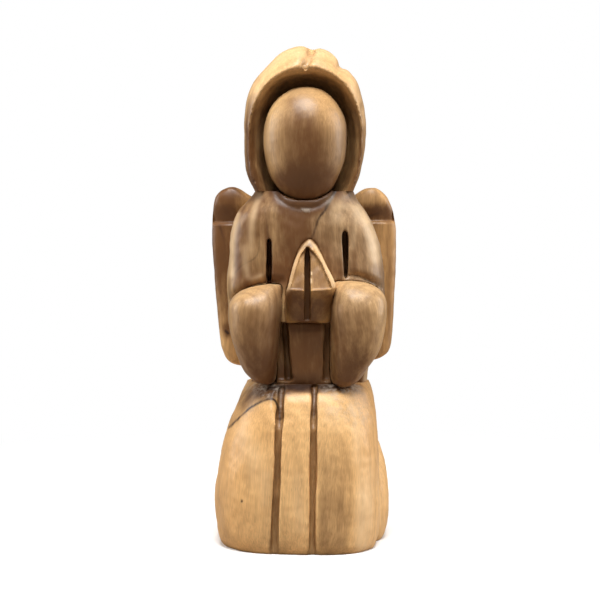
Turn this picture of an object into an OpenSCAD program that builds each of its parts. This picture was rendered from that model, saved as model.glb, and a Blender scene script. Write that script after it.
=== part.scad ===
// Kneeling, praying angel carved in olive wood, glued up from carved blocks on wooden dowels.
// +Z is up, the figure faces -Y, and its own left side is +X. The origin is on the floor,
// under the middle of its box.

/* [Figure] */
// Overall height of the statue
figure_h = 250; // [200:5:300]
// Height of the glue line between the lower robe and the torso
waist_h = 82; // [80:0.5:82.5]
// Height of the glue line between the torso and the hood
neck_h = 177.5; // [176.5:0.5:178.5]

/* [Lower robe] */
// Width of the lower robe at its widest
robe_w = 89; // [84:1:92]
// Depth of the lower robe from the knees to the heels
robe_depth = 84; // [76:1:90]
// Width of the two saw cuts down the front
groove_w = 3.4; // [2:0.2:4]
// Depth of the two saw cuts down the front
groove_depth = 7; // [4:0.5:9]
// Middle of the cut at the figure's right
groove_right_x = -13.6; // [-15:0.2:-13]
// Middle of the cut at the figure's left
groove_left_x = 4; // [3:0.2:6]

/* [Torso] */
// Width over the elbows
elbow_w = 78.4; // [76:0.4:80]
// Depth of the torso's rounded block, before its flat faces are cut
torso_depth = 41; // [38:1:44]
// Width of the two slots between the arms and the chest
slot_w = 2.4; // [2:0.2:3.4]
// Depth of the two slots
slot_depth = 14; // [8:1:16]
// Width of the belly panel between the two sleeves
belly_w = 17; // [14:1:20]

/* [Sleeves and hands] */
// Reach of the sleeves in front of their glue faces
sleeve_reach = 26; // [22:1:27]
// Width of the wrists, which is also the gap between the two sleeves
wrist_w = 25.6; // [24:0.4:28]
// Width of the slit between the two palms
palm_gap = 3; // [1.6:0.2:3.4]

/* [Head] */
// Width of the plain oval face
face_w = 42; // [36:1:44]
// Height of the plain oval face
face_h = 57.4; // [53:0.2:58]
// Width of the hood
hood_w = 61; // [59:1:63]

/* [Wings] */
// Width over both wings
wing_span = 95.2; // [92:0.4:98]
// Thickness of a wing
wing_t = 12; // [10:0.5:14]
// Height of the wings' lower tips
wing_low = 88; // [85:1:94]
// Height of the wings' tops
wing_top = 180; // [176:0.5:183]

/* [Dowels] */
// Diameter of the two waist dowels
waist_dowel_d = 8; // [6:1:9]
// Diameter of the neck dowel
neck_dowel_d = 6; // [4:1:7]
// Diameter of the small dowels in the hood, wings, sleeves and hands
small_dowel_d = 5; // [4:0.5:5]
// Radial clearance for glue around each dowel
glue_gap = 0.05; // [0.05:0.05:0.2]

/* [Hidden] */

design_h = 250;                 // the height that the ring tables below are drawn at
u = figure_h / design_h;        // scale from the tables to the statue
ring_sides = 40;                // points round each carved block
ring_steps = 4;                 // rings from one table row to the next
far = 400;                      // longer than the statue

waist_z = waist_h * u;
neck_z = neck_h * u;
chin_z = 172.6 * u;             // flat under the chin, where the head sits on the neck
pocket_z = 169.5 * u;           // floor of the hollow round the neck
chest_y = -19.5 * u;            // flat glue face for the hands
sleeve_y = -13 * u;             // flat glue face for the sleeves
sleeve_top = 133;
wrist_low = 112.6;
back_y = 16 * u;                // flat glue face for the wings
rim_y = -18.5 * u;              // flat front rim of the hood
head_y = -9;
neck_d = 20 * u;
pocket_d = 30 * u;
hands_x = 0.8;                  // middle of the gap between the sleeves

// The two slots: middle, lower end and upper end
slots = [[-17.9, 132.4, 156], [20.2, 134.6, 160.8]];

light = [0.86, 0.67, 0.42];
honey = [0.79, 0.57, 0.33];
brown = [0.62, 0.43, 0.26];
grey = [0.70, 0.56, 0.40];

// Ring tables: height, left, right, front, back, squareness
robe_rings = stretched([
    [0, -37, 35, -34, 36, 2.7],
    [3, -41.5, 39, -37.5, 39.5, 2.7],
    [10, -44.6, 42, -40.6, 41.6, 2.8],
    [22, -45.5, 43.4, -42, 42, 2.8],
    [36, -44.4, 41.4, -41.9, 39.4, 2.8],
    [50, -41.4, 37.4, -40.4, 33.6, 2.7],
    [62, -37.6, 35.6, -38.2, 28, 2.6],
    [72, -33.8, 34.6, -35, 23.4, 2.5],
    [78, -30.8, 33.2, -31.4, 21, 2.5],
    [waist_h, -28.4, 31.2, -24, 19.6, 2.4]
], robe_w / 89, robe_depth / 84);

torso_rings = stretched([
    [waist_h, -26.5, 30.6, -20, 19.2, 2.6],
    [90, -29.5, 32.2, -21, 19.6, 2.8],
    [102, -34.2, 35.6, -21, 20, 3.0],
    [114, -37.6, 39, -21, 20.5, 3.1],
    [126, -38.8, 39.6, -21, 20.5, 3.1],
    [138, -38.6, 39.2, -21, 20.5, 3.1],
    [150, -37.6, 37.1, -21, 20.5, 2.9],
    [160, -36.5, 34.2, -21, 20.4, 2.8],
    [168, -33.2, 29.7, -19.8, 19.8, 2.6],
    [neck_h, -24.6, 23, -16.4, 17.2, 2.4]
], elbow_w / 78.4, torso_depth / 41);

// One sleeve, with x counted outwards from the middle of the gap and y from the glue face
sleeve_rings = stretched([
    [82.6, 14, 22, -14, 7, 2.2],
    [86, 8, 27.4, -19, 9, 2.2],
    [92, 8, 32.2, -22, 9, 2.3],
    [102, 8, 36.6, -25.2, 9, 2.4],
    [112, 8, 38.6, -26, 9, 2.4],
    [120, 8, 38.9, -25.2, 9, 2.4],
    [126, 8, 36.6, -22.4, 9, 2.4],
    [130, 9, 31, -17.6, 9, 2.3],
    [132, 12, 23, -12, 7, 2.2]
], 1, sleeve_reach / 26);

// The hands, with x counted from the middle of the gap between the sleeves
wrist_half = wrist_w / 2;
hands_rings = stretched([
    [wrist_low, -12.8, 12.8, -26, -12, 3.6],
    [119, -12.8, 12.8, -29.4, -12, 3.6],
    [126, -12, 12.8, -33.6, -12, 3.6],
    [130.5, -10, 12.8, -37, -12, 3.4],
    [136, -8.2, 12, -35.8, -12, 3.2],
    [144, -5.8, 8.4, -32, -12, 2.8],
    [150, -3.2, 5.6, -28.6, -12, 2.5],
    [153.6, -0.4, 3, -26, -16, 2.2]
], wrist_half / 12.8, 1);

// The oval of the face: its share of the full width, from the chin (0) to the crown (1)
face_low = 172;
face_half = face_w / 2;
widest = 0.58;
function egg(t) = t < widest
    ? pow(1 - pow((widest - t) / (widest + 0.04), 2.2), 0.6)
    : sqrt(1 - 0.995 * pow((t - widest) / (1 - widest), 2));
egg_rows = [for (i = [0 : 18]) (1 - cos(10 * i)) / 2];
head_rings = [for (t = egg_rows)
    let (e = egg(t))
    [face_low + t * face_h, -face_half * e, face_half * e, head_y - 20 * e, head_y + 16 * e, 2.1]];

// The hood is a domed block, with a hollow round the face that runs out through its front
hood_rings = stretched([
    [neck_h, -25, 24.6, -24, 17.6, 2.4],
    [184, -28.3, 26.9, -24, 20.4, 2.4],
    [192, -30.1, 28.8, -24, 22.8, 2.4],
    [204, -30.5, 30.7, -24, 25, 2.4],
    [214, -30.4, 30.4, -24, 25, 2.4],
    [224, -28.8, 28, -23.6, 23.6, 2.3],
    [232, -25.8, 25.8, -22, 20.8, 2.2],
    [240, -19.6, 19.4, -18.8, 15.4, 2.1],
    [246.5, -12.6, 12, -11.6, 9, 2.0],
    [design_h, -2.6, 2.4, -2.4, 2.2, 2.0]
], hood_w / 61, 1);

// The hollow runs back from the face: depth, left, right, low, high, squareness
hollow_rings = stretched([
    [-32, -31, 32, 150, 241, 2.3],
    [-18.5, -26.8, 27.8, 156, 238.2, 2.3],
    [-14, -24.6, 25.6, 160, 234.8, 2.3],
    [-5, -23.9, 25, 162, 234, 2.3],
    [2, -22, 23, 165, 231.4, 2.3],
    [7.5, -17, 18, 171, 226, 2.2],
    [10.5, -8, 9, 184, 214, 2.0]
], hood_w / 61, 1);

// A ring table made wider or deeper
function stretched(rows, across, deep) =
    [for (r = rows) [r[0], r[1] * across, r[2] * across, r[3] * deep, r[4] * deep, r[5]]];

// A smooth value from b to c, with a and d as the neighbours on either side
function between(a, b, c, d, t) =
    0.5 * (2 * b + (c - a) * t + (2 * a - 5 * b + 4 * c - d) * t * t
        + (3 * b - a - 3 * c + d) * t * t * t);

// The rows of a ring table with rows added between them, on a smooth curve
function filled(rows) = concat(
    [for (i = [0 : len(rows) - 2], j = [0 : ring_steps - 1])
        let (a = rows[max(i - 1, 0)], b = rows[i], c = rows[i + 1],
             d = rows[min(i + 2, len(rows) - 1)], t = j / ring_steps)
        [for (k = [0 : 5]) k == 0 ? b[0] + (c[0] - b[0]) * t : between(a[k], b[k], c[k], d[k], t)]],
    [rows[len(rows) - 1]]
);

// One ring of points round the box of a row, which is a half size and a middle each way
function ring(row) =
    [for (i = [0 : ring_sides - 1])
        let (c = cos(360 * i / ring_sides), s = sin(360 * i / ring_sides),
             r = pow(pow(abs(c), row[5]) + pow(abs(s), row[5]), -1 / row[5]))
        [row[1] + row[2] + (row[2] - row[1]) * c * r,
         row[3] + row[4] + (row[4] - row[3]) * s * r, 2 * row[0]] * u / 2];

// A closed block whose cross-sections follow the rows
module carved_block(rows) {
    rings = [for (row = rows) ring(row)];
    n = ring_sides;
    last = len(rings) - 1;
    sides = [for (j = [0 : last - 1], i = [0 : n - 1])
        let (a = j * n + i, b = j * n + (i + 1) % n)
        each [[a, a + n, b], [b, a + n, b + n]]];
    caps = [[for (i = [0 : n - 1]) i], [for (i = [n - 1 : -1 : 0]) last * n + i]];
    polyhedron(points = [for (r = rings) each r], faces = concat(sides, caps));
}

// Everything on one side of an upright plane that faces the front
module behind(y) {
    translate([-far / 2, y, 0]) cube([far, far, far]);
}

module in_front_of(y) {
    translate([-far / 2, y - far, 0]) cube([far, far, far]);
}

module upright_dowel(x, y, z, d, length) {
    translate([x, y, z - length / 2]) cylinder(d = d, h = length, $fn = 48);
}

module level_dowel(x, y, z, d, length) {
    translate([x, y + length / 2, z]) rotate([90, 0, 0]) cylinder(d = d, h = length, $fn = 48);
}

// The dowels, and with grow = glue_gap the holes that they are glued in
module waist_pins(grow = 0) {
    for (x = [-12 * u, 12 * u])
        upright_dowel(x, 0, waist_z, waist_dowel_d + 2 * grow, 28 * u + 2 * grow);
}

module neck_pin(grow = 0) {
    upright_dowel(0, head_y * u, chin_z, neck_dowel_d + 2 * grow, 24 * u + 2 * grow);
}

module hood_pins(grow = 0) {
    for (x = [-9 * u, 9 * u])
        upright_dowel(x, 12.2 * u, neck_z, small_dowel_d + 2 * grow, 16 * u + 2 * grow);
}

module wing_pins(grow = 0) {
    for (x = [-16 * u, 16 * u], z = [112 * u, 148 * u])
        level_dowel(x, back_y, z, small_dowel_d + 2 * grow, 14 * u + 2 * grow);
}

module sleeve_pins(grow = 0) {
    for (side = [-1, 1])
        level_dowel((hands_x + side * 23) * u, sleeve_y, 107 * u,
            small_dowel_d + 2 * grow, 18 * u + 2 * grow);
}

module hands_pin(grow = 0) {
    level_dowel((hands_x - 5.6) * u, chest_y, 121 * u, small_dowel_d + 2 * grow, 14 * u + 2 * grow);
}

// Cut down the front of the robe, which leans back with the front and a little to the side
module saw_cut(x, lean) {
    translate([x, groove_depth - 35, 40] * u) rotate([-8.3, lean, 0])
        translate([-groove_w * u / 2, -far, -far / 2]) cube([groove_w * u, far, far]);
}

module lower_robe() {
    color(light) difference() {
        carved_block(filled(robe_rings));
        saw_cut(groove_right_x, 2.6);
        saw_cut(groove_left_x, 0.9);
        waist_pins(glue_gap);
    }
}

// Upright slot with round ends, cut in from the front of the chest
module chest_slot(x, low, high) {
    w = slot_w * u;
    floor_y = chest_y + slot_depth * u;
    for (z = [low * u + w / 2, high * u - w / 2])
        translate([x * u, floor_y, z]) rotate([90, 0, 0]) cylinder(d = w, h = far, $fn = 24);
    translate([x * u - w / 2, floor_y - far, low * u + w / 2]) cube([w, far, (high - low) * u - w]);
}

// Space for the two sleeves, from x to the sides on either hand and up to z
module sleeve_space(x, z) {
    for (left = [hands_x - x - far, hands_x + x])
        translate([left * u, sleeve_y - far, 0]) cube([far * u, far, z * u]);
}

module torso() {
    color(grey) {
        difference() {
            carved_block(filled(torso_rings));
            in_front_of(chest_y);
            behind(back_y);
            sleeve_space(wrist_half, sleeve_top);
            sleeve_space(belly_w / 2, wrist_low);
            for (s = slots) chest_slot(s[0], s[1], s[2]);
            translate([0, head_y * u, pocket_z]) cylinder(d = pocket_d, h = far, $fn = 64);
            waist_pins(glue_gap);
            neck_pin(glue_gap);
            hood_pins(glue_gap);
            wing_pins(glue_gap);
            sleeve_pins(glue_gap);
            hands_pin(glue_gap);
        }
        neck_stub();
    }
}

module neck_stub() {
    root_z = pocket_z - 2 * u;
    difference() {
        translate([0, head_y * u, root_z]) cylinder(d = neck_d, h = chin_z - root_z, $fn = 64);
        neck_pin(glue_gap);
    }
}

// One sleeve, outwards along +X from the middle of the gap
module sleeve() {
    difference() {
        translate([0, sleeve_y, 0]) carved_block(filled(sleeve_rings));
        behind(sleeve_y);
        // The wrist end stops square against the hands
        translate([wrist_half * u - far, -far / 2, 0]) cube([far, far, far]);
    }
}

module right_sleeve() {
    color(light) difference() {
        translate([hands_x * u, 0, 0]) mirror([1, 0, 0]) sleeve();
        sleeve_pins(glue_gap);
    }
}

module left_sleeve() {
    color(honey) difference() {
        translate([hands_x * u, 0, 0]) sleeve();
        sleeve_pins(glue_gap);
    }
}

module praying_hands() {
    color(honey) difference() {
        translate([hands_x * u, 0, 0]) carved_block(filled(hands_rings));
        behind(chest_y);
        translate([(hands_x + 0.5 - palm_gap / 2) * u, -far - 23.5 * u, 0])
            cube([palm_gap * u, far, 151.6 * u]);
        hands_pin(glue_gap);
    }
}

module head() {
    color(grey) difference() {
        carved_block(head_rings);
        translate([-far / 2, -far / 2, chin_z - far]) cube([far, far, far]);
        neck_pin(glue_gap);
    }
}

module hood() {
    color(light) difference() {
        carved_block(filled(hood_rings));
        rotate([90, 0, 0]) mirror([0, 0, 1]) carved_block(filled(hollow_rings));
        in_front_of(rim_y);
        hood_pins(glue_gap);
    }
}

// Outline of the wing at the figure's right, seen from the front
module wing_outline() {
    edge = -wing_span / 2;
    hull() {
        translate([edge + 9.5, wing_top - 9.5] * u) circle(r = 9.5 * u, $fn = 48);
        translate([edge + 3, 146] * u) circle(r = 3 * u, $fn = 24);
        translate([edge + 12.5, wing_low + 9] * u) circle(r = 9 * u, $fn = 48);
        for (z = [112, 166])
            translate([-8, z] * u) circle(r = 5 * u, $fn = 24);
    }
}

// A carved notch on both faces divides the rounded upper lobe from the long lower feathers
module wing() {
    notch = 4.5 * u;
    difference() {
        translate([0, back_y + wing_t * u, 0]) rotate([90, 0, 0])
            linear_extrude(height = wing_t * u) wing_outline();
        for (y = [back_y, back_y + wing_t * u])
            translate([-far / 2 - 18 * u, y, 162 * u]) rotate([45, 0, 0])
                cube([far, notch, notch], center = true);
    }
}

module right_wing() {
    color(brown) difference() {
        wing();
        wing_pins(glue_gap);
    }
}

module left_wing() {
    color(brown) difference() {
        mirror([1, 0, 0]) wing();
        wing_pins(glue_gap);
    }
}

module waist_dowels() {
    color(honey) waist_pins();
}

module neck_dowel() {
    color(honey) neck_pin();
}

module hood_dowels() {
    color(honey) hood_pins();
}

module wing_dowels() {
    color(honey) wing_pins();
}

module sleeve_dowels() {
    color(honey) sleeve_pins();
}

module hands_dowel() {
    color(honey) hands_pin();
}

lower_robe();
torso();
right_sleeve();
left_sleeve();
praying_hands();
head();
hood();
right_wing();
left_wing();
waist_dowels();
neck_dowel();
hood_dowels();
wing_dowels();
sleeve_dowels();
hands_dowel();
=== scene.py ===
"""Praying angel statue, carved from blocks of olive wood and glued up on dowels.

Laid out as an add-on: sizes and colours are properties, each piece has its own operator, and the
panel lists them. The blocks are drawn in millimetres and put into metres when they are finished.
"""

import math

import bmesh
import bpy
import numpy as np
from mathutils import Matrix, Vector


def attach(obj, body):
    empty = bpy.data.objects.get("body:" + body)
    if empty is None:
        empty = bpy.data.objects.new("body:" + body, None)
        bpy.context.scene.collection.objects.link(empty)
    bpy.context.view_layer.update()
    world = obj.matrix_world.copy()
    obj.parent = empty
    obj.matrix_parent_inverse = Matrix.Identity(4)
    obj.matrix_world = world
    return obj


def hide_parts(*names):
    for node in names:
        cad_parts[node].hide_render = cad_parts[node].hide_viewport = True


bl_info = {
    "name": "Praying Angel Statue",
    "version": (1, 0, 0),
    "blender": (4, 5, 0),
    "location": "3D View > Sidebar > Angel",
    "description": "Carves a kneeling olive wood angel round its dowelled frame",
    "category": "Add Mesh",
}

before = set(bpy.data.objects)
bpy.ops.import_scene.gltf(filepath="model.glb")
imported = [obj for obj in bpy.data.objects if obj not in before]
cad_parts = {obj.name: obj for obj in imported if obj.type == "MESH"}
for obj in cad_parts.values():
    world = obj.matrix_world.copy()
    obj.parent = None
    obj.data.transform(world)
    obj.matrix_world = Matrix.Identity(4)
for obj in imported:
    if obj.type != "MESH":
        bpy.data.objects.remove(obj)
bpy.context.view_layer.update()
MM = 0.001

# ---------------------------------------------------------------- block tables, in millimetres
# Each row: height, left, right, front, back, squareness of the cross-section

ROBE_ROWS = [
    (-3, -37.0, 32.0, -34.0, 33.0, 2.8),
    (0, -40.8, 35.0, -37.6, 36.5, 2.9),
    (2.5, -42.8, 36.3, -39.3, 38.6, 2.9),
    (6, -44.2, 37.0, -40.4, 40.2, 2.9),
    (11, -45.0, 37.5, -41.2, 41.3, 2.9),
    (20, -45.5, 37.8, -41.9, 42.0, 2.9),
    (30, -45.1, 37.5, -42.0, 41.0, 2.9),
    (40, -43.5, 37.1, -41.6, 38.0, 2.9),
    (50, -41.4, 36.8, -40.6, 33.8, 2.8),
    (60, -38.4, 36.2, -38.8, 29.0, 2.7),
    (68, -35.4, 35.6, -36.6, 25.0, 2.6),
    (74, -32.8, 34.6, -34.0, 22.4, 2.5),
    (77, -31.2, 33.8, -32.0, 21.3, 2.5),
    (79.5, -29.8, 33.0, -29.2, 20.6, 2.5),
    (81.5, -28.8, 32.3, -25.0, 20.0, 2.4),
    (84, -27.8, 31.4, -20.0, 19.0, 2.4),
    (87, -26.0, 29.5, -14.0, 17.6, 2.4),
]
HEEL_ROWS = [
    (-3, 6.0, 36.5, -4.0, 32.0, 2.5),
    (0, 6.0, 40.2, -6.0, 36.5, 2.5),
    (3, 6.0, 41.6, -8.0, 39.0, 2.5),
    (8, 6.0, 42.6, -9.0, 41.0, 2.4),
    (19, 6.0, 43.6, -8.0, 42.0, 2.4),
    (30, 6.0, 42.8, -6.0, 41.2, 2.4),
    (38, 6.0, 41.5, -3.0, 38.8, 2.3),
    (44, 6.0, 39.9, 1.0, 36.0, 2.2),
    (49, 8.0, 38.0, 6.0, 32.0, 2.1),
    (53, 14.0, 33.0, 15.0, 26.0, 2.0),
]
TORSO_ROWS = [
    (78, -26.0, 30.6, -20.0, 18.5, 2.5),
    (82, -26.6, 31.4, -21.8, 19.2, 2.6),
    (86, -27.2, 31.7, -22.6, 19.4, 2.7),
    (91, -29.0, 32.3, -22.8, 19.6, 2.8),
    (100, -33.2, 34.6, -23.0, 20.0, 3.0),
    (112, -37.2, 38.6, -22.8, 20.5, 3.1),
    (124, -38.9, 39.9, -22.4, 20.5, 3.1),
    (134, -39.0, 39.9, -22.0, 20.5, 3.1),
    (143, -38.4, 38.9, -21.8, 20.5, 3.0),
    (151, -37.7, 37.1, -21.6, 20.5, 2.9),
    (158, -37.1, 35.3, -21.3, 20.5, 2.8),
    (163, -35.9, 33.3, -20.8, 20.2, 2.7),
    (168, -33.4, 30.4, -19.8, 19.8, 2.6),
    (173, -29.0, 26.6, -18.4, 18.8, 2.5),
    (177.5, -25.4, 24.6, -16.6, 17.6, 2.4),
    (181, -23.0, 22.6, -15.0, 16.5, 2.4),
]
RIGHT_SLEEVE_ROWS = [
    (82.4, -22.0, -16.6, -27.0, -9.0, 2.2),
    (84, -26.0, -15.0, -30.0, -4.0, 2.3),
    (88, -29.5, -14.2, -33.2, -4.0, 2.4),
    (92, -31.8, -13.8, -35.0, -4.0, 2.5),
    (98, -34.2, -13.2, -37.0, -4.0, 2.5),
    (104, -36.0, -12.8, -38.3, -4.0, 2.6),
    (111, -37.4, -12.2, -39.0, -4.0, 2.6),
    (117, -38.1, -11.9, -38.8, -4.0, 2.6),
    (121.5, -37.9, -11.7, -37.8, -4.0, 2.6),
    (125.5, -35.2, -11.6, -35.8, -4.0, 2.5),
    (128.5, -30.4, -11.5, -32.8, -4.0, 2.4),
    (130.6, -24.0, -11.6, -29.4, -4.0, 2.3),
    (131.7, -18.4, -12.4, -25.5, -6.0, 2.2),
]
LEFT_SLEEVE_ROWS = [
    (81, 16.0, 20.5, -27.0, -9.0, 2.2),
    (82.3, 13.8, 23.8, -30.0, -4.0, 2.3),
    (85, 12.8, 27.4, -32.5, -4.0, 2.4),
    (89.5, 12.4, 31.2, -34.5, -4.0, 2.5),
    (95, 12.4, 34.9, -36.5, -4.0, 2.5),
    (103, 12.4, 38.1, -38.3, -4.0, 2.6),
    (111, 12.4, 39.7, -39.0, -4.0, 2.6),
    (119, 12.8, 40.3, -38.8, -4.0, 2.6),
    (124.5, 13.0, 39.9, -37.2, -4.0, 2.5),
    (128, 13.2, 37.8, -34.8, -4.0, 2.5),
    (130.6, 13.4, 34.2, -31.8, -4.0, 2.4),
    (132.3, 13.8, 29.6, -28.2, -4.0, 2.3),
    (133.2, 15.0, 24.0, -24.2, -6.0, 2.2),
]
HANDS_ROWS = [
    (112.6, -9.4, 12.4, -25.0, -8.0, 4.0),
    (114, -9.8, 12.9, -27.0, -8.0, 4.0),
    (119, -9.9, 13.4, -29.4, -8.0, 4.0),
    (124.5, -9.8, 14.2, -32.4, -8.0, 4.0),
    (128, -9.4, 14.8, -35.4, -8.0, 4.0),
    (130.5, -8.7, 15.2, -37.0, -8.0, 4.0),
    (134, -7.7, 14.0, -36.4, -8.0, 4.0),
    (141, -5.9, 10.6, -33.4, -8.0, 3.8),
    (147, -3.9, 7.8, -30.4, -8.0, 3.6),
    (150.4, -2.2, 6.2, -28.4, -8.0, 3.2),
    (152.6, -0.2, 4.4, -27.0, -8.0, 2.8),
    (153.8, 1.2, 3.0, -26.0, -8.0, 2.4),
]
HOOD_ROWS = [
    (174, -23.5, 23.0, -24.0, 16.5, 2.5),
    (184, -28.3, 26.9, -24.0, 20.2, 2.8),
    (192, -30.1, 28.8, -24.0, 22.8, 2.9),
    (204, -30.5, 30.7, -24.0, 25.0, 3.0),
    (214, -30.4, 30.4, -24.0, 25.0, 3.0),
    (224, -28.8, 28.6, -23.4, 23.6, 2.8),
    (232, -25.8, 26.3, -22.0, 20.6, 2.4),
    (240, -19.2, 20.0, -18.3, 15.1, 2.1),
    (246, -13.2, 13.7, -12.3, 9.5, 2.0),
    (248.5, -8.8, 8.8, -8.2, 6.2, 2.0),
    (250, -3.6, 3.0, -3.0, 2.2, 2.0),
]
# The hollow round the face runs along the depth: depth, left, right, low, high, squareness
HOLLOW_ROWS = [
    (-32, -37.0, 37.6, 152.0, 246.4, 2.2),
    (-18.5, -29.8, 30.4, 160.0, 238.3, 2.2),
    (-14, -27.4, 28.2, 164.0, 236.2, 2.2),
    (-9, -24.4, 25.4, 167.0, 234.8, 2.2),
    (-4, -22.6, 23.6, 169.0, 232.6, 2.2),
    (1, -19.6, 20.4, 172.0, 228.6, 2.2),
    (5, -14.5, 15.3, 177.0, 222.0, 2.1),
    (8, -7.0, 8.0, 186.0, 212.0, 2.0),
]
RIGHT_WING_ROWS = [
    (86.8, -31.0, -28.0, 19.0, 25.0, 2.4),
    (87.8, -36.6, -21.0, 17.4, 26.6, 2.8),
    (90.5, -40.4, -15.5, 16.2, 27.8, 3.4),
    (96, -43.0, -10.5, 16.0, 28.0, 3.6),
    (102, -44.1, -7.5, 16.0, 28.0, 3.6),
    (118, -45.8, -4.0, 16.0, 28.0, 3.6),
    (132, -47.0, -3.0, 16.0, 28.0, 3.6),
    (150, -47.8, -3.0, 16.0, 28.0, 3.6),
    (162, -47.9, -3.0, 16.0, 28.0, 3.6),
    (168, -47.6, -7.0, 16.0, 28.0, 3.4),
    (172, -47.1, -20.0, 16.0, 28.0, 3.2),
    (175.2, -46.3, -27.6, 16.4, 27.6, 3.0),
    (178.2, -43.9, -32.4, 17.4, 26.6, 2.6),
    (179.7, -41.2, -35.0, 18.6, 25.4, 2.4),
    (180.3, -39.4, -37.0, 20.0, 24.0, 2.2),
]
LEFT_WING_ROWS = [
    (89.8, 30.5, 34.0, 19.0, 25.0, 2.4),
    (90.6, 23.0, 38.0, 17.4, 26.6, 2.8),
    (92.6, 17.0, 41.4, 16.2, 27.8, 3.4),
    (95.5, 13.5, 43.6, 16.0, 28.0, 3.6),
    (101, 9.0, 45.0, 16.0, 28.0, 3.6),
    (112, 5.0, 45.9, 16.0, 28.0, 3.6),
    (125, 3.0, 46.6, 16.0, 28.0, 3.6),
    (138, 3.0, 47.1, 16.0, 28.0, 3.6),
    (156, 3.0, 47.1, 16.0, 28.0, 3.6),
    (162.5, 3.0, 46.4, 16.0, 28.0, 3.6),
    (168, 6.0, 45.4, 16.0, 28.0, 3.4),
    (172, 19.0, 43.9, 16.0, 28.0, 3.2),
    (175, 24.4, 42.4, 16.4, 27.6, 3.0),
    (178, 28.4, 39.2, 17.4, 26.6, 2.6),
    (179.4, 31.4, 36.6, 18.6, 25.4, 2.4),
]

WAIST_Z = 82.0
NECK_Z = 177.5
CHIN_Z = 172.6
CHEST_Y = -19.5
SLEEVE_Y = -13.0
BACK_Y = 16.0
RIM_Y = -18.5


# ---------------------------------------------------------------- properties


def size(name, description, default, least, most):
    """A size of the carving, in millimetres."""
    return bpy.props.FloatProperty(
        name=name, description=description + ", in millimetres", default=default, min=least,
        max=most)


def colour(name, description, default):
    """A colour of the wood or of the stage."""
    return bpy.props.FloatVectorProperty(
        name=name, description=description, subtype="COLOR", size=3, min=0.0, max=1.0,
        default=default)


class AngelSizes(bpy.types.PropertyGroup):
    """Sizes of the carving."""

    grain: size("Carving grain", "Spacing of the carved surface's points", 0.8, 0.5, 2.0)
    saw_cut: size("Saw cut", "Width of the two cuts down the robe", 3.3, 2.0, 4.0)
    slot: size("Slot", "Width of the slots between arms and chest", 2.5, 2.0, 3.6)
    palm_slit: size("Palm slit", "Width of the slit between the palms", 3.0, 1.6, 3.6)
    head_width: size("Head width", "Width of the plain oval head", 41.8, 38.0, 44.0)


class AngelColours(bpy.types.PropertyGroup):
    """Colours of the wood and of the stage."""

    cream: colour("Sapwood", "Palest wood", (0.76, 0.475, 0.21))
    tan: colour("Tan", "Middle tone of the wood", (0.52, 0.272, 0.092))
    # Heartwood brown, also the colour of the painted shade in slots, gaps, grooves, hollows and under
    # overhangs
    brown: colour("Heartwood", "Brown heartwood", (0.130, 0.054, 0.018))
    # Dark figure colour, also the colour of painted shade lines at the waist, collar, hood bevel and
    # wing ledge
    umber: colour("Dark figure", "Dark lines of the figure", (0.035, 0.016, 0.009))
    chalk: colour("Rough patches", "Grey rasped wood at the waist", (0.50, 0.41, 0.32))
    drab: colour("Drab", "Greyed wood of the head and chest", (0.28, 0.175, 0.105))
    # Bleached streaks, and also the colour of painted highlights on the hands' ridge, the hood's top
    # and the torso's arm and shoulder
    pale: colour("Pale", "Bleached edges and streaks", (0.86, 0.62, 0.36))
    floor: colour("Floor", "Plain pale floor", (0.92, 0.92, 0.91))
    bounce: colour("Bounce", "Light thrown back by the floor", (0.34, 0.28, 0.22))


# ---------------------------------------------------------------- carving tools


def between_rows(rows, t):
    """Rows of a table read on a smooth curve at the shares t (0 to 1) of its length."""
    table = np.array(rows, dtype=float)
    last = len(table) - 1
    s = np.clip(np.asarray(t) * last, 0, last - 1e-9)
    i = s.astype(int)
    f = (s - i)[:, None]
    a, b = table[np.maximum(i - 1, 0)], table[i]
    c, d = table[i + 1], table[np.minimum(i + 2, last)]
    return 0.5 * (2 * b + (c - a) * f + (2 * a - 5 * b + 4 * c - d) * f**2
                  + (3 * b - a - 3 * c + d) * f**3)


def carved_block(rows, sides=128, levels=110, along="Z"):
    """A closed block whose cross-sections follow the rows, upright or along the depth."""
    bm = bmesh.new()
    bmesh.ops.create_cone(bm, cap_ends=True, segments=sides, radius1=1, radius2=1, depth=1)
    uprights = [e for e in bm.edges if abs(e.verts[0].co.z - e.verts[1].co.z) > 0.5]
    bmesh.ops.subdivide_edges(bm, edges=uprights, cuts=levels - 1)
    drum = np.array([v.co for v in bm.verts])
    at, left, right, near, away, square = between_rows(rows, drum[:, 2] + 0.5).T
    angle = np.arctan2(drum[:, 1], drum[:, 0])
    c, s = np.cos(angle), np.sin(angle)
    r = (np.abs(c) ** square + np.abs(s) ** square) ** (-1 / square)
    across = (left + right) / 2 + (right - left) / 2 * c * r
    deep = (near + away) / 2 + (away - near) / 2 * s * r
    places = np.column_stack((across, deep, at) if along == "Z" else (across, at, deep))
    for v, place in zip(bm.verts, places):
        v.co = place
    return face_outwards(bm)


def face_outwards(bm):
    """Turns the faces of a closed block outwards."""
    bmesh.ops.recalc_face_normals(bm, faces=bm.faces)
    if bm.calc_volume(signed=True) < 0:
        bmesh.ops.reverse_faces(bm, faces=bm.faces)
    return bm


def prism(outline, front, back):
    """A block with a few corners, seen from the front, from one depth to another.
    A corner is (x, z), or (x, z, front depth, back depth)."""
    bm = bmesh.new()
    corners = [p if len(p) == 4 else (*p, front, back) for p in outline]
    face = bm.faces.new([bm.verts.new((x, near, z)) for x, z, near, away in corners])
    rim = [v for v in face.verts]
    made = bmesh.ops.extrude_face_region(bm, geom=[face])
    for v in (g for g in made["geom"] if isinstance(g, bmesh.types.BMVert)):
        k = min(range(len(rim)), key=lambda j: (rim[j].co - v.co).length)
        v.co.y = corners[k][3]
    return face_outwards(bm)


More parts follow.
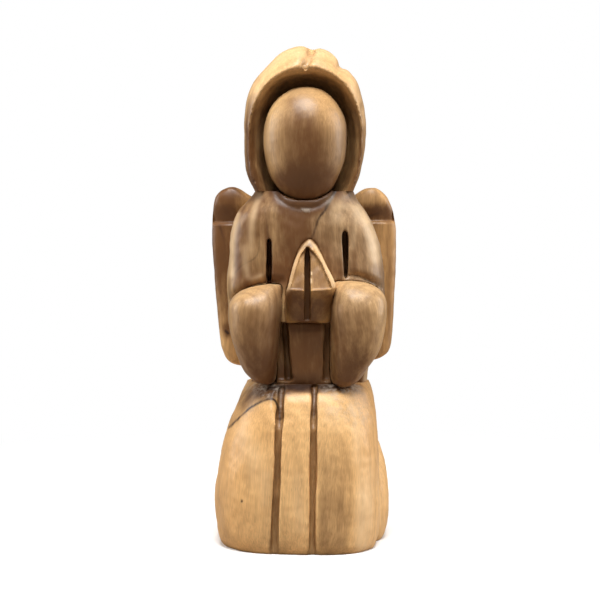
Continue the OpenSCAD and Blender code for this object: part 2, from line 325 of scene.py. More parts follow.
def slice_off(bm, place, normal):
    """Saws off what lies beyond a plane, and closes the cut."""
    cut = bmesh.ops.bisect_plane(bm, geom=bm.verts[:] + bm.edges[:] + bm.faces[:], plane_co=place,
                                 plane_no=normal, clear_outer=True)
    edges = [g for g in cut["geom_cut"] if isinstance(g, bmesh.types.BMEdge)]
    bmesh.ops.holes_fill(bm, edges=edges, sides=0)


def as_object(bm, name):
    """A bmesh as an object of the scene."""
    mesh = bpy.data.meshes.new(name)
    bm.to_mesh(mesh)
    bm.free()
    obj = bpy.data.objects.new(name, mesh)
    bpy.context.scene.collection.objects.link(obj)
    return obj


def apply_modifiers(obj):
    """Makes the object's modifiers part of its mesh."""
    bpy.context.view_layer.update()
    seen = obj.evaluated_get(bpy.context.evaluated_depsgraph_get())
    mesh = bpy.data.meshes.new_from_object(seen)
    obj.modifiers.clear()
    old = obj.data
    obj.data = mesh
    bpy.data.meshes.remove(old)
    mesh.name = obj.name


def volume_of(obj):
    bm = bmesh.new()
    bm.from_mesh(obj.data)
    volume = bm.calc_volume(signed=True)
    bm.free()
    return volume


def cut_away(obj, bm):
    """Takes the shape bm out of the object."""
    tool = as_object(bm, "tool")
    step = obj.modifiers.new("cut", "BOOLEAN")
    step.operation = "DIFFERENCE"
    step.solver = "MANIFOLD"
    step.object = tool
    before = volume_of(obj)
    apply_modifiers(obj)
    bpy.data.objects.remove(tool)
    if not 0 < volume_of(obj) < before:
        raise RuntimeError(obj.name + ": a cut did not take")


def resurface(obj, size, smooth=2, strength=0.5):
    """Lays an even skin of small faces over the block, and sands it."""
    skin = obj.modifiers.new("skin", "REMESH")
    skin.mode = "VOXEL"
    skin.voxel_size = size
    skin.use_smooth_shade = True
    if smooth:
        sand = obj.modifiers.new("sand", "SMOOTH")
        sand.factor = strength
        sand.iterations = smooth
    apply_modifiers(obj)


def places_of(obj):
    co = np.empty(len(obj.data.vertices) * 3)
    obj.data.vertices.foreach_get("co", co)
    return co.reshape(-1, 3)


def normals_of(obj):
    no = np.empty(len(obj.data.vertices) * 3)
    obj.data.vertices.foreach_get("normal", no)
    return no.reshape(-1, 3)


def put_places(obj, co):
    obj.data.vertices.foreach_set("co", co.ravel())
    obj.data.update()


def smooth_path(path, steps=8):
    """A path read on a smooth curve through its points."""
    if len(path) < 3:
        return np.array(path, dtype=float)
    return between_rows(path, np.linspace(0, 1, (len(path) - 1) * steps + 1))


def off_path(points, path):
    """Distance of each point from a path, and the path's last column at the nearest place."""
    best = np.full(len(points), 1e9)
    weight = np.zeros(len(points))
    dims = points.shape[1]
    for a, b in zip(path[:-1], path[1:]):
        d = b[:dims] - a[:dims]
        t = np.clip(((points - a[:dims]) @ d) / max(d @ d, 1e-12), 0, 1)
        gap = np.linalg.norm(points - a[:dims] - t[:, None] * d, axis=1)
        w = a[-1] + (b[-1] - a[-1]) * t
        weight = np.where(gap < best, w, weight)
        best = np.minimum(best, gap)
    return best, weight


def soft_step(low, high, x):
    t = np.clip((x - low) / (high - low), 0, 1)
    return t * t * (3 - 2 * t)


def facing_side(no, side):
    """How far each place faces the front (-1) or the back (+1)."""
    return soft_step(0.05, 0.45, no[:, 1] * side)


def gouge(obj, path, width, depth, side=-1, hollow=1.6):
    """Carves a groove along a path of (x, z, strength) seen from the front or the back."""
    co, no = places_of(obj), normals_of(obj)
    gap, weight = off_path(co[:, [0, 2]], smooth_path(path))
    bite = np.clip(1 - gap / width, 0, 1) ** hollow * weight * facing_side(no, side)
    co[:, 1] -= side * depth * bite
    put_places(obj, co)


def dent(obj, path, radius, depth, hollow=2.0):
    """Presses the surface in (or out, with a negative depth) along a path of (x, y, z, strength)."""
    co, no = places_of(obj), normals_of(obj)
    gap, weight = off_path(co, smooth_path(path))
    bite = (0.5 + 0.5 * np.cos(np.pi * np.clip(gap / radius, 0, 1))) ** hollow * weight
    put_places(obj, co - no * (depth * bite)[:, None])


def waves(points, seed, size, count=14):
    """Smooth, repeatable unevenness of about unit height, as a sum of waves."""
    rng = np.random.default_rng(seed)
    total = np.zeros(len(points))
    for _ in range(count):
        way = rng.normal(size=3)
        way /= np.linalg.norm(way)
        total += np.sin(points @ way * (2 * np.pi / (size * rng.uniform(0.7, 1.6)))
                        + rng.uniform(0, 2 * np.pi))
    return total / math.sqrt(count)


def hand_worked(obj, seed, coarse=0.22, fine=0.05):
    """Uneven surface left by the gouge and the sanding."""
    co, no = places_of(obj), normals_of(obj)
    put_places(obj, co + no * (coarse * waves(co, seed, 17) + fine * waves(co, seed + 1, 4.5))[:, None])


def dowel_holes(obj, *nodes):
    """Bores the holes for the dowels, in place, a hair wider than the dowels."""
    for node in nodes:
        bm = bmesh.new()
        bm.from_mesh(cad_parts[node].data)
        bmesh.ops.remove_doubles(bm, verts=bm.verts, dist=1e-6)
        bmesh.ops.scale(bm, vec=(1000, 1000, 1000), verts=bm.verts)
        bm.normal_update()
        for v in bm.verts:
            v.co += v.normal * 0.06
        cut_away(obj, bm)


def slice_and_bore(obj, planes, *dowels):
    """Planes the glue faces flat again after the sanding, and bores the dowel holes."""
    bm = bmesh.new()
    bm.from_mesh(obj.data)
    for place, normal in planes:
        slice_off(bm, place, normal)
    bm.to_mesh(obj.data)
    bm.free()
    dowel_holes(obj, *dowels)


def paint_stain_and_light(obj, name, strokes):
    """Lays the wood's figure, and painted shade and highlights, on the surface: strokes of (path,
    width, strength, softness).
    """
    co = places_of(obj)
    amount = np.zeros(len(co))
    for path, width, strength, softness in strokes:
        points = co[:, [0, 2]] if len(path[0]) == 3 else co
        gap, weight = off_path(points, smooth_path(path))
        lay = np.exp(-np.clip(gap / width, 0, 30) ** softness) * weight * strength
        if len(path[0]) == 3:
            back = (co[:, 1] - co[:, 1].min()) / np.ptp(co[:, 1])
            lay *= 1 - soft_step(0.45, 0.72, back)
        amount += lay * (1 - amount)
    layer = obj.data.attributes.get(name) or obj.data.attributes.new(name, "FLOAT", "POINT")
    layer.data.foreach_set("value", np.clip(amount, 0, 1).astype(np.float32))


def finish_piece(obj, node, material, sharp=50):
    """Puts the piece into metres and into the frame, in place of its CAD node."""
    obj.data.transform(Matrix.Scale(MM, 4))
    obj.data.shade_smooth()
    obj.data.set_sharp_from_angle(angle=math.radians(sharp))
    obj.data.materials.clear()
    obj.data.materials.append(material)
    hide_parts(node)
    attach(obj, "root")


# ---------------------------------------------------------------- materials


class Grain:
    """Builds one olive wood material out of nodes."""

    def __init__(self, name):
        self.material = bpy.data.materials.new(name)
        self.material.use_nodes = True
        self.tree = self.material.node_tree
        self.shader = self.tree.nodes["Principled BSDF"]

    def node(self, kind, values=(), **settings):
        made = self.tree.nodes.new(kind)
        for key, value in settings.items():
            setattr(made, key, value)
        for socket, value in dict(values).items():
            if hasattr(value, "is_output") or isinstance(value, bpy.types.NodeSocket):
                self.tree.links.new(value, made.inputs[socket])
            else:
                made.inputs[socket].default_value = value
        return made

    def math(self, operation, *terms):
        return self.node("ShaderNodeMath", dict(enumerate(terms)), operation=operation).outputs[0]

    def noise(self, vector, scale, detail=2.0, rough=0.5, distortion=0.0):
        return self.node("ShaderNodeTexNoise", {
            "Vector": vector, "Scale": scale, "Detail": detail, "Roughness": rough,
            "Distortion": distortion}).outputs["Fac"]

    def placed(self, vector, location=(0, 0, 0), turn=(0, 0, 0), scale=(1, 1, 1)):
        return self.node("ShaderNodeMapping", {
            "Vector": vector, "Location": location, "Rotation": turn, "Scale": scale}).outputs[0]

    def ranged(self, value, low, high, to_low=0.0, to_high=1.0):
        return self.node("ShaderNodeMapRange", {
            "Value": value, "From Min": low, "From Max": high, "To Min": to_low,
            "To Max": to_high}, interpolation_type="SMOOTHSTEP").outputs[0]

    def mix(self, amount, first, second, blend="MIX"):
        made = self.node("ShaderNodeMix", data_type="RGBA", blend_type=blend)
        for socket, value in ((0, amount), (6, first), (7, second)):
            if isinstance(value, bpy.types.NodeSocket):
                self.tree.links.new(value, made.inputs[socket])
            elif socket:
                made.inputs[socket].default_value = (*value, 1.0)
            else:
                made.inputs[socket].default_value = value
        return made.outputs[2]

    def layer(self, name):
        return self.node("ShaderNodeAttribute", attribute_name=name).outputs["Fac"]


def olive_wood(name, pith, tilt=(0.0, 0.0), brownness=0.4, streaks=1.0, rings=0.5, drab=0.0,
               tone=1.0, seed=0.0):
    """Lacquered olive wood: growth rings round a pith, fibres, brown clouds and dark figure."""
    colours = bpy.context.scene.angel_colours
    g = Grain(name)
    place = g.node("ShaderNodeTexCoord").outputs["Object"]
    shifted = g.placed(place, location=(seed * 0.37, seed * 0.21, seed * 0.53))

    # The trunk wanders, so the grain is bent by slow noise before anything is drawn on it
    wander = g.node("ShaderNodeTexNoise", {"Vector": shifted, "Scale": 11.0, "Detail": 1.0})
    wander = g.node("ShaderNodeVectorMath", {0: wander.outputs["Color"], 1: (0.5, 0.5, 0.5)},
                    operation="SUBTRACT").outputs[0]
    wander = g.node("ShaderNodeVectorMath", {0: wander, 1: (0.012, 0.012, 0.03)},
                    operation="MULTIPLY").outputs[0]
    bent = g.node("ShaderNodeVectorMath", {0: place, 1: wander}, operation="ADD").outputs[0]
    trunk = g.placed(bent, location=(-pith[0] * MM, -pith[1] * MM, 0),
                     turn=(math.radians(tilt[0]), math.radians(tilt[1]), 0))
    long_grain = g.placed(trunk, location=(seed, seed * 1.7, 0), scale=(1, 1, 0.06))
    cloud_space = g.placed(trunk, location=(seed * 0.5, 0, seed), scale=(1, 1, 0.38))

    clouds = g.ranged(g.noise(cloud_space, 16.0, 2.0, 0.5), 0.30, 0.74)
    rings_wave = g.node("ShaderNodeTexWave", {
        "Vector": g.placed(trunk, scale=(1, 1, 0.16)), "Scale": 58.0, "Distortion": 4.0,
        "Detail": 3.0, "Detail Scale": 1.3, "Detail Roughness": 0.55},
        wave_type="RINGS", rings_direction="Z", wave_profile="SIN").outputs["Fac"]
    ring_lines = g.ranged(rings_wave, 0.45, 1.0)
    fibres = g.noise(long_grain, 760.0, 3.0, 0.6)
    fine = g.noise(g.placed(trunk, scale=(1, 1, 0.05)), 2100.0, 2.0, 0.6)
    flecks = g.ranged(g.noise(g.placed(shifted, scale=(1, 1, 0.22)), 900.0, 1.0), 0.64, 0.76)

    base = g.mix(g.math("MULTIPLY", clouds, 0.75), colours.cream, colours.tan)
    base = g.mix(g.math("MULTIPLY", g.ranged(g.noise(cloud_space, 15.0, 2.0), 0.3, 0.7), 1.3 * drab),
                 base, colours.drab)
    brown_zone = g.ranged(g.noise(cloud_space, 17.0, 3.0, 0.6), 0.62 - 0.35 * brownness,
                          0.92 - 0.30 * brownness)
    base = g.mix(g.math("MULTIPLY", brown_zone, 0.15 + 0.5 * brownness), base, colours.brown)
    base = g.mix(g.math("MULTIPLY", ring_lines, 0.36 * rings), base, colours.brown)
    depth = g.ranged(fibres, 0.30, 0.72, tone * (1.0 - 0.14 * streaks), tone * (1.0 + 0.09 * streaks))
    depth = g.math("MULTIPLY", depth, g.ranged(fine, 0.3, 0.7, 0.87, 1.09))
    base = g.node("ShaderNodeVectorMath", {0: base, 3: depth}, operation="SCALE").outputs[0]
    base = g.mix(g.math("MULTIPLY", flecks, 0.2), base, colours.brown)

    # Figure laid on in strokes: brown heartwood, near-black lines, bleached streaks and rasped grey
    # patches; the brown, dark and light layers also carry painted shade in hollows, gaps, creases and
    # under overhangs, and painted highlights on lit ridges and tops
    ragged = g.ranged(g.noise(g.placed(trunk, scale=(1, 1, 0.3)), 260.0, 3.0, 0.6), 0.25, 0.75,
                      0.72, 1.15)
    heart_and_shade = g.math("MULTIPLY", g.layer("heart_and_shade"), ragged)
    base = g.mix(g.ranged(heart_and_shade, 0.0, 0.85, 0.0, 0.97), base, colours.brown)
    figure = g.math("MULTIPLY", g.layer("figure"), ragged)
    base = g.mix(g.ranged(figure, 0.12, 0.8), base, colours.umber)
    base = g.mix(g.math("MULTIPLY", g.math("MULTIPLY", g.layer("pale"), ragged), 0.8), base,
                 colours.pale)
    rasped = g.math("MULTIPLY", g.layer("rasped"),
                    g.ranged(g.noise(shifted, 330.0, 4.0, 0.7), 0.40, 0.62))
    base = g.mix(g.math("MULTIPLY", rasped, 0.75), base, colours.chalk)
    g.tree.links.new(base, g.shader.inputs["Base Color"])

    rough = g.math("ADD", g.ranged(fibres, 0.3, 0.7, 0.36, 0.46), g.math("MULTIPLY", rasped, 0.3))
    g.tree.links.new(rough, g.shader.inputs["Roughness"])
    g.shader.inputs["Specular IOR Level"].default_value = 0.28
    g.shader.inputs["Coat Weight"].default_value = 0.04
    g.shader.inputs["Coat Roughness"].default_value = 0.24
    height = g.math("ADD", g.math("MULTIPLY", fibres, 0.5), g.math("MULTIPLY", fine, 0.25))
    height = g.math("ADD", height, g.math("MULTIPLY", rasped, 3.0))
    height = g.math("SUBTRACT", height, g.math("MULTIPLY", figure, 0.8))
    bump = g.node("ShaderNodeBump", {"Height": height, "Strength": 0.35, "Distance": 0.00022})
    g.tree.links.new(bump.outputs[0], g.shader.inputs["Normal"])
    return g.material


# ---------------------------------------------------------------- pieces


class ANGEL_OT_lower_robe(bpy.types.Operator):
    """Carve the kneeling lower robe with its two saw cuts"""

    bl_idname = "angel.lower_robe"
    bl_label = "Lower Robe"

    def execute(self, context):
        sizes = context.scene.angel_sizes
        robe = as_object(carved_block(ROBE_ROWS), "lower_robe_carving")
        heel = as_object(carved_block(HEEL_ROWS, sides=96, levels=70), "heel")
        step = robe.modifiers.new("heel", "BOOLEAN")
        step.operation = "UNION"
        step.solver = "MANIFOLD"
        step.object = heel
        apply_modifiers(robe)
        bpy.data.objects.remove(heel)
        resurface(robe, 1.1, smooth=3)
        w = sizes.saw_cut / 2
        # Each saw cut: middle, height and floor at the waist, at the knee and at the base
        cuts = (
            ((-11.6, 79.8, -21.5), (-12.9, 61.0, -33.0), (-15.4, -6.0, -38.0)),
            ((4.6, 81.0, -20.5), (4.2, 61.0, -32.4), (3.3, -6.0, -37.6)),
        )
        for cut in cuts:
            for (top_x, top_z, top_y), (low_x, low_z, low_y) in zip(cut[:-1], cut[1:]):
                cut_away(robe, prism(
                    [(top_x - w, top_z, -60, top_y), (low_x - w, low_z, -60, low_y),
                     (low_x + w, low_z, -60, low_y), (top_x + w, top_z, -60, top_y)], -60, -30))
            # The cut runs out in a point at the waist
            top_x, top_z, top_y = cut[0]
            cut_away(robe, prism([(top_x - w, top_z - 0.1), (top_x + w, top_z - 0.1),
                                  (top_x + w * 0.7, top_z + 3.4)], -60, top_y))
        # Facet pared off beside the top of the cut at the figure's right
        cut_away(robe, prism([(-17.8, 77.0, -60, -30.6), (-13.2, 61.0, -60, -38.2),
                              (-11.4, 81.5, -60, -23.0)], -60, -30))
        resurface(robe, sizes.grain, smooth=2)
        hand_worked(robe, 11, coarse=0.25)
        # The block sits a little askew, with the figure's left knee further forward
        co = places_of(robe)
        co[:, 1] -= 0.07 * co[:, 0] * (1 - soft_step(30, 78, co[:, 2]))
        put_places(robe, co)
        slice_and_bore(robe, [((0, 0, 0), (0, 0, -1)), ((0, 0, WAIST_Z), (0, 0, 1))],
                       "waist_dowels")
        paint_stain_and_light(robe, "figure", [
            ([(-11.7, 58.7, 0.5), (-13.1, 70.9, 1), (-16.6, 75.7, 1), (-25.8, 71.8, 1),
              (-31.7, 66.5, 1), (-38.5, 59.0, 0.8)], 0.6, 0.75, 2.0),
            ([(-26, 73, 0.4), (-19, 76.5, 1), (-14, 78.5, 0.7)], 1.8, 0.5, 2.0),
            ([(-30.9, 26.4, 1), (-30.9, 25.8, 1)], 0.6, 1.0, 2.0),
            # Painted shade: these two dark strokes lie along the shelf at the waist, in the shade under
            # the belly and sleeves
            ([(-24, -24, 82, 0.5), (-12, -25, 81.8, 1), (3, -25.5, 81.6, 1), (16, -24, 82, 0.8),
              (26, -20, 82, 0.4)], 3.4, 0.95, 3.0),
            ([(-9, -29, 80.2, 0.7), (3, -29.6, 79.8, 1), (14, -28.6, 80.4, 0.6)], 2.4, 0.45, 2.0)])
        paint_stain_and_light(robe, "heart_and_shade", [
            ([(-31, 73.5, 0.7), (-22, 79, 1), (-13, 80, 1)], 5.0, 0.75, 2.0),
            ([(-37, 62, 0.8), (-30, 70, 0.6)], 3.0, 0.4, 2.0),
            ([(-17.5, 8, 0.8), (-18.5, 24, 0.6), (-18, 33, 0.2)], 3.5, 0.22, 2.0),
            ([(-20, 66, 0.7), (-22, 52, 0.3)], 4.0, 0.22, 2.0),
            ([(-26, 36, 0.5), (-28, 18, 0.8), (-24, 5, 0.8)], 6.0, 0.08, 2.0),
            ([(-42, 30, 0.8), (-43, 14, 1), (-38, 3, 1)], 5.0, 0.25, 2.0),
            ([(13, 62, 0.2), (14.4, 50, 0.7), (14.4, 25, 1), (13.6, 2, 0.9)], 8.4, 0.42, 7.0),
            ([(8, 40, 0.5), (8.5, 20, 1), (9, 4, 0.9)], 3.0, 0.12, 2.0),
            ([(30, 60, 0.6), (36, 46, 0.8), (37.5, 36, 0.4)], 2.2, 0.25, 2.0),
            ([(-9.5, 44, 0.2), (-10, 22, 0.8), (-11, 2, 1)], 3.0, 0.28, 2.0),
            # Painted shade along the shelf at the waist, under the belly and sleeves
            ([(-27, -22, 82, 0.8), (-14, -26, 81.4, 1), (0, -27, 81.2, 1), (14, -26, 81.6, 1),
              (26, -22, 82, 0.6)], 5.0, 1.0, 3.0),
            # Painted shade down the two saw cuts, darkest at the waist
            ([(-11.6, -21, 80, 1), (-12.4, -28, 68, 1), (-12.9, -33, 61, 0.7),
              (-15.4, -38, -2, 0.65)], 2.9, 0.75, 8.0),
            ([(4.6, -20, 81, 1), (4.4, -27, 70, 1), (4.2, -32.4, 61, 0.7),
              (3.3, -37.6, -2, 0.65)], 2.9, 0.75, 8.0)])
        paint_stain_and_light(robe, "pale", [
            ([(24, 70, 0.7), (25, 60, 1), (25.5, 46, 0.6)], 2.8, 0.5, 2.0),
            ([(29.5, 44, 0.3), (29, 24, 1), (28.5, 4, 1)], 4.6, 0.7, 4.0),
            ([(10, 74, 0.6), (16, 66, 0.8)], 5.0, 0.35, 2.0),
            ([(-30, 58, 0.6), (-25, 48, 0.9), (-23, 36, 0.5)], 5.0, 0.40, 2.0),
            ([(-19, 40, 0.7), (-20, 26, 0.5)], 2.6, 0.35, 2.0),
            ([(-4, 40, 0.4), (-3, 26, 0.8), (-2, 14, 0.6)], 3.0, 0.35, 2.0)])
        paint_stain_and_light(robe, "rasped", [
            ([(-27, 80, 0.6), (-20, 80.5, 1), (-13, 79, 0.7)], 2.8, 1.0, 2.0),
            ([(-20, 76.6, 0.8), (-15.5, 78, 1)], 1.8, 0.9, 2.0),
            ([(10, 80.5, 0.5), (18, 80, 0.9), (26, 80.5, 0.9)], 2.4, 1.0, 2.0),
            ([(13, 76.5, 0.7), (15, 76, 0.7)], 1.4, 0.8, 2.0),
            ([(14, 72, 0.8), (22, 70, 1), (28, 66, 0.8)], 6.0, 0.45, 2.0)])
        finish_piece(robe, "lower_robe", olive_wood(
            "olive_robe", pith=(36, 30), tilt=(2, -3), brownness=0.05, rings=0.35,
            streaks=0.45, tone=1.12,
            seed=1.0))
        return {"FINISHED"}


class ANGEL_OT_torso(bpy.types.Operator):
    """Carve the torso with its slots, collar, belly panel and glue faces"""

    bl_idname = "angel.torso"
    bl_label = "Torso"

    def execute(self, context):
        sizes = context.scene.angel_sizes
        torso = as_object(carved_block(TORSO_ROWS), "torso_carving")
        resurface(torso, 1.1, smooth=2)
        # Spaces for the sleeves, with the upper arms left standing over them
        cut_away(torso, prism(
            [(-12.6, 124), (-60, 124), (-60, 60), (-15.4, 60)], -60, SLEEVE_Y))
        cut_away(torso, prism(
            [(13.4, 126), (12.4, 60), (60, 60), (60, 126)], -60, SLEEVE_Y))
        for rows in (RIGHT_SLEEVE_ROWS, LEFT_SLEEVE_ROWS):
            bed = carved_block(rows, sides=96, levels=90)
            bmesh.ops.translate(bed, vec=(0, 0, 0.4), verts=bed.verts)
            slice_off(bed, (0, SLEEVE_Y, 0), (0, 1, 0))
            cut_away(torso, bed)
        # Gaps beside the belly panel
        cut_away(torso, prism([(-8.6, 112.8), (-17, 112.8), (-17, 83.5), (-6.2, 83.5)], -60, -17))
        cut_away(torso, prism([(-8.7, 112.8), (-11.6, 112.8), (-9.8, 83.5), (-6.3, 83.5)], -60, -13.5))
        cut_away(torso, prism([(16, 112.8), (9.2, 112.8), (8.8, 83.5), (16, 83.5)], -60, -18))
        # Seat of the hands
        seat = carved_block(HANDS_ROWS, sides=96, levels=90)
        slice_off(seat, (0, CHEST_Y, 0), (0, 1, 0))
        cut_away(torso, seat)
        # Slots between the arms and the chest
        w = sizes.slot / 2
        for x, low, high, lean in ((-17.9, 132.0, 156.6, 0.15), (20.2, 134.0, 161.2, -0.5)):
            cut_away(torso, prism(
                [(x + lean, high + 0.4), (x - w + lean, high - 5), (x - w, low + 1.4),
                 (x - w * 0.55, low), (x + w * 0.55, low), (x + w, low + 1.4),
                 (x + w + lean, high - 5)], -60, -9.5))
        head = carved_block(head_rows(sizes.head_width, 0.8), sides=96, levels=90)
        slice_off(head, (0, 0, CHIN_Z), (0, 0, -1))
        cut_away(torso, head)
        resurface(torso, sizes.grain, smooth=2)
        gouge(torso, [(-15.6, 180, 1), (-13.6, 175.0, 1), (-10.4, 171.6, 1), (-5.6, 169.6, 1),
                      (0.4, 169.0, 1), (5.6, 169.8, 1), (10.4, 172.8, 1), (13.6, 176.2, 1),
                      (15.2, 180, 1)], 1.9, 0.5, hollow=1.2)
        gouge(torso, [(-39, 122.5, 1), (-33.6, 126.0, 1), (-28.7, 129.0, 1), (-22.9, 131.4, 1),
                      (-16.7, 132.8, 0.9), (-12.2, 133.2, 0.6)], 3.8, 2.8)
        gouge(torso, [(18.5, 135.4, 0.3), (24.7, 135.8, 0.9), (29.3, 134.4, 1), (33.1, 132.4, 1),
                      (39.0, 129.2, 0.9)], 3.8, 3.0)
        hand_worked(torso, 21, coarse=0.28)
        slice_and_bore(torso, [((0, 0, WAIST_Z), (0, 0, -1)), ((0, 0, NECK_Z), (0, 0, 1)),
                               ((0, BACK_Y, 0), (0, 1, 0))],
                       "waist_dowels", "neck_dowel", "hood_dowels", "wing_dowels",
                       "sleeve_dowels", "hands_dowel")
        paint_stain_and_light(torso, "heart_and_shade", [
            ([(-28, 174, 0.8), (-31, 160, 0.9), (-32, 146, 0.9), (-29, 134, 1)], 8.0, 0.8, 2.5),
            ([(-23.5, 176, 1), (-23.6, 160, 1), (-23, 148, 0.6)], 1.6, 0.5, 2.0),
            ([(-33, 168, 0.8), (-34.5, 154, 1), (-34, 142, 0.8)], 1.5, 0.5, 2.0),
            ([(28, 164, 0.3), (24.5, 150, 0.6), (24.5, 140, 0.8)], 2.2, 0.45, 2.0),
            ([(-21, 172, 0.8), (-18, 150, 0.8), (-16, 134, 1)], 5.0, 0.75, 2.0),
            ([(-5, 166, 1), (-4, 150, 1), (-6, 136, 1)], 9.5, 0.95, 3.0),
            ([(12, 166, 0.5), (10, 150, 0.8), (16, 138, 0.8)], 6.5, 0.7, 2.0),
            # Painted shadow under the chin, on the collar band
            ([(-15, 178, 1), (-8, 172, 1), (0, 170.5, 1), (8, 172, 1), (14, 177, 1)], 5.0, 1.0, 3.0),
            ([(27, 156, 0.4), (28, 144, 0.7), (30, 136, 0.4)], 4.5, 0.40, 2.0),
            # Painted shade: the band at the waist, the belly panel under the hands, the gaps beside it
            # and the two slots
            ([(-32, 84, 1), (0, 83, 0.9), (32, 84, 1)], 5.0, 0.75, 2.0),
            ([(0, 110, 1), (0, 90, 0.95)], 11.0, 0.85, 5.0),
            ([(-12, -15, 112, 1), (-11, -15, 84, 1)], 4.6, 0.6, 4.0),
            ([(11, -15, 112, 1), (11, -15, 84, 1)], 3.6, 0.6, 4.0),
            ([(-17.9, -10, 154, 1), (-17.9, -10, 134, 1)], 8.0, 0.35, 6.0),
            ([(20.2, -10, 159, 1), (20.2, -10, 136, 1)], 8.0, 0.35, 6.0)])
        paint_stain_and_light(torso, "pale", [
            # Light streak of the wood with a painted sheen on it
            ([(-22.6, 176, 0.6), (-25.2, 167, 1), (-26.6, 158, 0.7), (-26.8, 146, 0.3)], 1.7, 0.5, 2.0),
            ([(31.5, 94, 0.4), (32, 88, 0.8), (31.5, 83, 1)], 3.0, 0.6, 2.0),
            # Painted highlight along the outer side of the figure's right arm
            ([(-34.0, 166, 0.8), (-36.4, 152, 1), (-36.8, 136, 0.8)], 1.7, 0.8, 2.0),
            ([(-29.5, 150, 0.4), (-29.5, 142, 0.8), (-28.5, 136, 0.6)], 1.6, 0.55, 2.0),
            # Painted highlight beside the foot of the slot at the figure's right
            ([(-22, 135, 1), (-26, 133.5, 0.6)], 1.6, 0.5, 2.0),
            # Painted highlight on the figure's left shoulder
            ([(27, 169, 0.6), (32.5, 157, 1), (35.5, 144, 0.8)], 3.0, 0.7, 2.0),
            ([(17, 170, 0.5), (25, 168, 0.6), (23.6, 150, 0.4)], 1.6, 0.5, 2.0),
            ([(14, 172, 0.7), (16, 164, 0.7)], 3.5, 0.4, 2.0)])
        paint_stain_and_light(torso, "figure", [
            # Painted shade along the collar groove under the chin
            ([(-15, 178, 0.9), (-10, 171.5, 1), (0, 169, 1), (10, 172.5, 1), (14.5, 178, 0.9)],
             2.6, 0.42, 3.0),
            ([(15.4, 178.5, 1), (9.9, 168.2, 1), (6.7, 164, 0.9), (4, 155.9, 0.7),
              (1.5, 151.9, 0.6)], 0.75, 0.8, 2.0),
            ([(-23.8, 158, 0.3), (-22.4, 152.6, 0.8), (-24.3, 145.1, 0.9), (-31.3, 140.6, 0.8),
              (-35.4, 136.3, 0.6)], 0.7, 0.55, 2.0),
            ([(-21.3, 178.1, 0.6), (-18.6, 158.3, 0.7), (-18.3, 138.5, 0.5)], 0.9, 0.55, 2.0),
            ([(-30, 172, 0.5), (-32.5, 160, 0.6), (-33, 150, 0.4)], 1.2, 0.45, 2.0)])
        paint_stain_and_light(torso, "rasped", [
            ([(-26, 84, 0.7), (-20, 83.5, 1)], 2.4, 0.8, 2.0),
            ([(16, 83.5, 0.8), (24, 84, 1)], 2.4, 0.8, 2.0),
            ([(-1.5, 168.2, 0.9), (2.5, 168.0, 1)], 0.9, 0.9, 2.0)])
        finish_piece(torso, "torso", olive_wood(
            "olive_torso", pith=(-60, 20), tilt=(-2, 4), brownness=0.40, streaks=1.4, rings=0.8,
            drab=0.65, tone=0.72, seed=2.0))
        return {"FINISHED"}


class ANGEL_OT_sleeves(bpy.types.Operator):
    """Carve the two hanging sleeves"""

    bl_idname = "angel.sleeves"
    bl_label = "Sleeves"

    def execute(self, context):
        grain = context.scene.angel_sizes.grain
        for name, rows, side, seed in (("right_sleeve", RIGHT_SLEEVE_ROWS, -1, 3.0),
                                       ("left_sleeve", LEFT_SLEEVE_ROWS, 1, 4.0)):
            sleeve = as_object(carved_block(rows, sides=96, levels=90), name + "_carving")
            resurface(sleeve, grain * 0.85, smooth=3)
            hand_worked(sleeve, int(30 + seed), coarse=0.25)
            slice_and_bore(sleeve, [((0, SLEEVE_Y, 0), (0, 1, 0))], "sleeve_dowels")
            paint_stain_and_light(sleeve, "heart_and_shade", [
                # Painted shade on brown wood: the inner side by the hands, and the lower front where
                # the sleeve turns under
                ([(side * 12, 124, 0.7), (side * 13.5, 104, 0.9), (side * 18, 83, 1)], 7.0,
                 0.62, 2.5),
                ([(side * 25, 114, 0.7), (side * 26, 98, 0.9), (side * 23, 84, 0.9)], 10.0,
                 0.72, 3.0),
                # Painted shadow under the edge of the upper arm, along the top of the sleeve
                ([(side * 30, 128, 0.7), (side * 20, 131, 0.8)], 2.5, 0.3, 2.0)])
            finish_piece(sleeve, name, olive_wood(
                "olive_" + name, pith=(side * 62, -70), tilt=(6, side * 6), brownness=0.30,
                streaks=1.0, rings=0.6, drab=0.55, tone=0.88, seed=seed))
        return {"FINISHED"}


